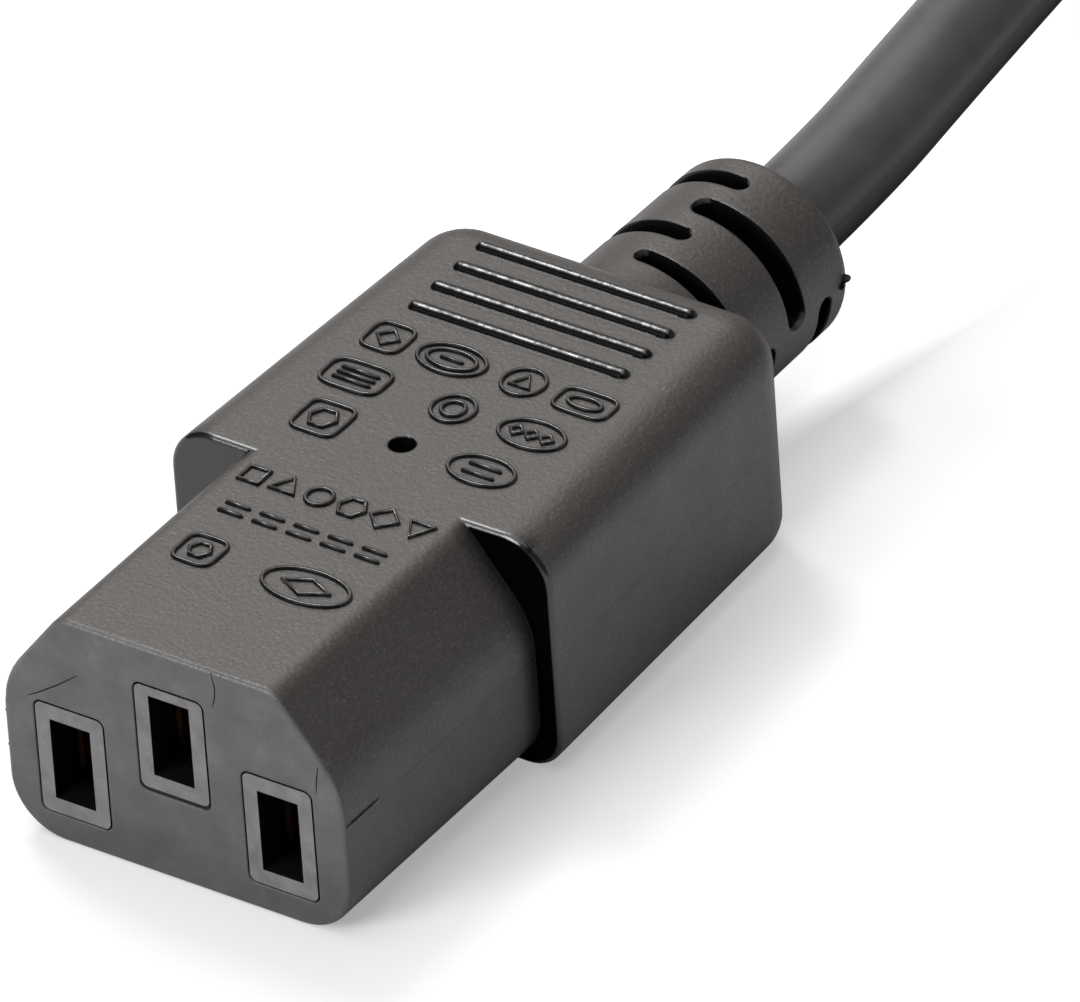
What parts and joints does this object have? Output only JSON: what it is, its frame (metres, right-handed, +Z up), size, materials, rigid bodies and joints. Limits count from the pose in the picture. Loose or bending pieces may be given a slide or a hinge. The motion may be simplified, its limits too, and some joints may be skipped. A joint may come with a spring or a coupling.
{
  "type": "y splitter power cord",
  "caption": "Short mains splitter lead: a moulded inlet plug, a trunk cord, a moulded Y junction and two tails, each ending in a moulded appliance socket with a slotted strain relief.",
  "frame": {"origin": "middle of the underside of socket A, the socket at the free end of the left tail", "axes": "+Y runs from the mating face of socket A towards its cord, +Z is up, out of the face with the grip ribs, and +X is to the right when the lead is seen from the mating face of socket A"},
  "size_m": [0.0751, 0.2869, 0.0208],
  "materials": {
    "housing_pvc": "fine matt, near black",
    "insert_plastic": "smooth dark grey",
    "cord_sheath": "satin, near black",
    "contact_brass": "stamped sheet",
    "pin_metal": "nickel plated, smooth",
    "splice_metal": "tinned",
    "core_brown": "smooth",
    "core_blue": "smooth",
    "core_green": "smooth, with a yellow stripe",
    "tie_fabric": "hook and loop strap"
  },
  "bodies": {
    "root": {"socket_housing_a": "housing_pvc", "contact_carrier_a": "insert_plastic", "line_contact_a": "contact_brass", "earth_contact_a": "contact_brass", "neutral_contact_a": "contact_brass", "line_core_a": "core_brown", "earth_core_a": "core_green", "neutral_core_a": "core_blue", "socket_housing_b": "housing_pvc", "contact_carrier_b": "insert_plastic", "line_contact_b": "contact_brass", "earth_contact_b": "contact_brass", "neutral_contact_b": "contact_brass", "line_core_b": "core_brown", "earth_core_b": "core_green", "neutral_core_b": "core_blue", "plug_shroud": "insert_plastic", "plug_housing": "housing_pvc", "plug_line_pin": "pin_metal", "plug_earth_pin": "pin_metal", "plug_neutral_pin": "pin_metal", "plug_line_core": "core_brown", "plug_earth_core": "core_green", "plug_neutral_core": "core_blue", "junction_housing": "housing_pvc", "line_splice": "splice_metal", "earth_splice": "splice_metal", "neutral_splice": "splice_metal", "line_trunk_core": "core_brown", "earth_trunk_core": "core_green", "neutral_trunk_core": "core_blue", "line_tail_core_a": "core_brown", "line_tail_core_b": "core_brown", "earth_tail_core_a": "core_green", "earth_tail_core_b": "core_green", "neutral_tail_core_a": "core_blue", "neutral_tail_core_b": "core_blue", "tail_cord_a": "cord_sheath", "tail_cord_b": "cord_sheath", "trunk_cord": "cord_sheath", "cord_tie": "tie_fabric"}
  },
  "joints": []
}
